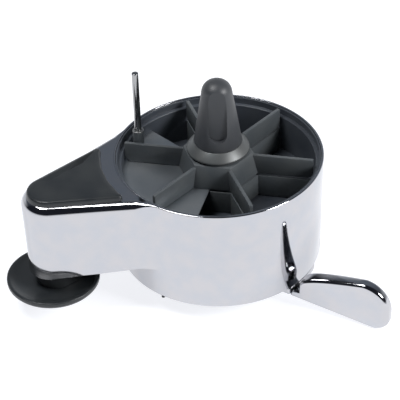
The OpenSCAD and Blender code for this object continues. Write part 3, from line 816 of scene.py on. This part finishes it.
# %% Tamper disc
disc_low, disc_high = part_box("tamper_disc")
disc_centre = (disc_low + disc_high) / 2 / mm
disc_r = (disc_high.x - disc_low.x) / 2 / mm
rim_z, under_z = disc_high.z / mm, disc_low.z / mm
disc_bm = bmesh.new()
lathe(disc_bm, [(0, under_z, 0), (disc_r - 1.6, under_z, 0.4), (disc_r, under_z + 2, 0.4),
                (disc_r, rim_z, 0.7), (disc_r - 1.8, rim_z, 0.5), (24, rim_z - 1.4, 2),
                (19, rim_z - 2.5, 2), (14, rim_z - 3, 0), (0, rim_z - 3, 0)], steps=192,
      centre=disc_centre[:2], closed=False)
make_piece("tamper_dish", disc_bm, "tamper_disc")

# %% Tamper neck
neck_r, neck_top = 12.2, -44.0
neck_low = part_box("tamper_neck")[0].z / mm
neck_reach = Vector((8, 6, 0))
neck_far = lobe + neck_reach
neck_turn = math.atan2(neck_reach.y, neck_reach.x)
neck_bm = bmesh.new()
first = neck_bm.verts.new(lobe + Vector((math.cos(neck_turn + math.pi / 2),
                                         math.sin(neck_turn + math.pi / 2), 0)) * neck_r)
point = arc_to(neck_bm, first, lobe, math.pi, 40)
point = line_to(neck_bm, point, point.co + neck_reach)
point = arc_to(neck_bm, point, neck_far, math.pi, 40)
neck_bm.edges.new((point, first))
bmesh.ops.translate(neck_bm, vec=(0, 0, neck_low), verts=neck_bm.verts)
neck_face = bmesh.ops.edgeloop_fill(neck_bm, edges=neck_bm.edges[:])["faces"]
grown = bmesh.ops.extrude_face_region(neck_bm, geom=neck_face)["geom"]
bmesh.ops.translate(neck_bm, vec=(0, 0, neck_top - neck_low),
                    verts=[g for g in grown if isinstance(g, bmesh.types.BMVert)])
bmesh.ops.recalc_face_normals(neck_bm, faces=neck_bm.faces)
soften(neck_bm, 0.8, segments=3, angle=60)
lathe(neck_bm, [(0, neck_top - 1, 0), (8, neck_top - 1, 0), (8, -arm_plate, 0),
                (0, -arm_plate, 0)], steps=48, centre=disc_centre[:2], closed=False)
make_piece("neck_moulding", neck_bm, "tamper_neck")

# %% [markdown]
# ## The lever
#
# The lever is a chromed paddle that stands on edge beside the drum, on a flat root that runs under the
# drum to the axis. The paddle's side outline is drawn with a Bezier curve and two arcs, filled,
# extruded, thinned towards the tip, and bevelled nearly to a half round, which is where the chrome
# shows its dark band and white highlights.

# %% Paddle
paddle_t, root_t, tip_t, taper_run = 9.0, 11.0, 7.5, 55
paddle_start = Vector((48.8, -46.0, 0))
paddle_turn = math.radians(-29)
root_low, root_top = -76.2, -71.2
paddle_bm = bmesh.new()
sweep = interpolate_bezier(Vector((0.4, 0, -65)), Vector((2.5, 0, -60)), Vector((15, 0, -56.3)),
                           Vector((42, 0, -51.5)), 24)
first = paddle_bm.verts.new((-6, 0, root_low))
point = line_to(paddle_bm, first, (-4, 0, root_top - 0.4))
point = line_to(paddle_bm, point, (0.1, 0, -70.6))
for place in sweep:
    point = line_to(paddle_bm, point, place)


def side_arc(bm, start, centre, turn, steps):
    """Draws an arc in the paddle's own plane."""
    made = bmesh.ops.spin(bm, geom=[start], cent=centre, axis=(0, 1, 0), dvec=(0, 0, 0),
                          angle=turn, steps=steps)
    return made["geom_last"][0]


point = side_arc(paddle_bm, point, (42, 0, -69), math.radians(90), 24)
point = line_to(paddle_bm, point, (59.35, 0, -74.7))
point = side_arc(paddle_bm, point, (49.5, 0, -73), math.radians(92), 16)
paddle_bm.edges.new((point, first))
paddle_face = bmesh.ops.edgeloop_fill(paddle_bm, edges=paddle_bm.edges[:])["faces"]
grown = bmesh.ops.extrude_face_region(paddle_bm, geom=paddle_face)["geom"]
bmesh.ops.translate(paddle_bm, vec=(0, paddle_t, 0),
                    verts=[g for g in grown if isinstance(g, bmesh.types.BMVert)])
bmesh.ops.translate(paddle_bm, vec=(0, -paddle_t / 2, 0), verts=paddle_bm.verts)
for corner in paddle_bm.verts:
    along = max(0.0, min(1.0, corner.co.x / taper_run))
    corner.co.y *= (root_t + (tip_t - root_t) * along) / paddle_t
bmesh.ops.recalc_face_normals(paddle_bm, faces=paddle_bm.faces)
flat_sides = [e for e in paddle_bm.edges if e.verts[0].co.y * e.verts[1].co.y > 0]
soften(paddle_bm, 3.35, segments=8, angle=60, edges=flat_sides)
bmesh.ops.rotate(paddle_bm, cent=(0, 0, 0), matrix=Matrix.Rotation(paddle_turn, 3, "Z"),
                 verts=paddle_bm.verts)
bmesh.ops.translate(paddle_bm, vec=paddle_start, verts=paddle_bm.verts)
print("paddle:", len(paddle_bm.faces), "faces")

# %% Root under the drum
root_bm = bmesh.new()
first = root_bm.verts.new(polar(62.6, -49, root_low))
point = arc_to(root_bm, first, (0, 0, root_low), math.radians(29), 16)
point = line_to(root_bm, point, polar(15, 60, root_low))
point = arc_to(root_bm, point, (0, 0, root_low), math.pi, 32)
root_bm.edges.new((point, first))
root_face = bmesh.ops.edgeloop_fill(root_bm, edges=root_bm.edges[:])["faces"]
grown = bmesh.ops.extrude_face_region(root_bm, geom=root_face)["geom"]
bmesh.ops.translate(root_bm, vec=(0, 0, root_top - root_low),
                    verts=[g for g in grown if isinstance(g, bmesh.types.BMVert)])
bmesh.ops.recalc_face_normals(root_bm, faces=root_bm.faces)
soften(root_bm, 1.2, segments=4, angle=60)
add_part(paddle_bm, root_bm)
make_piece("lever_casting", paddle_bm, "lever_handle", smooth=30)
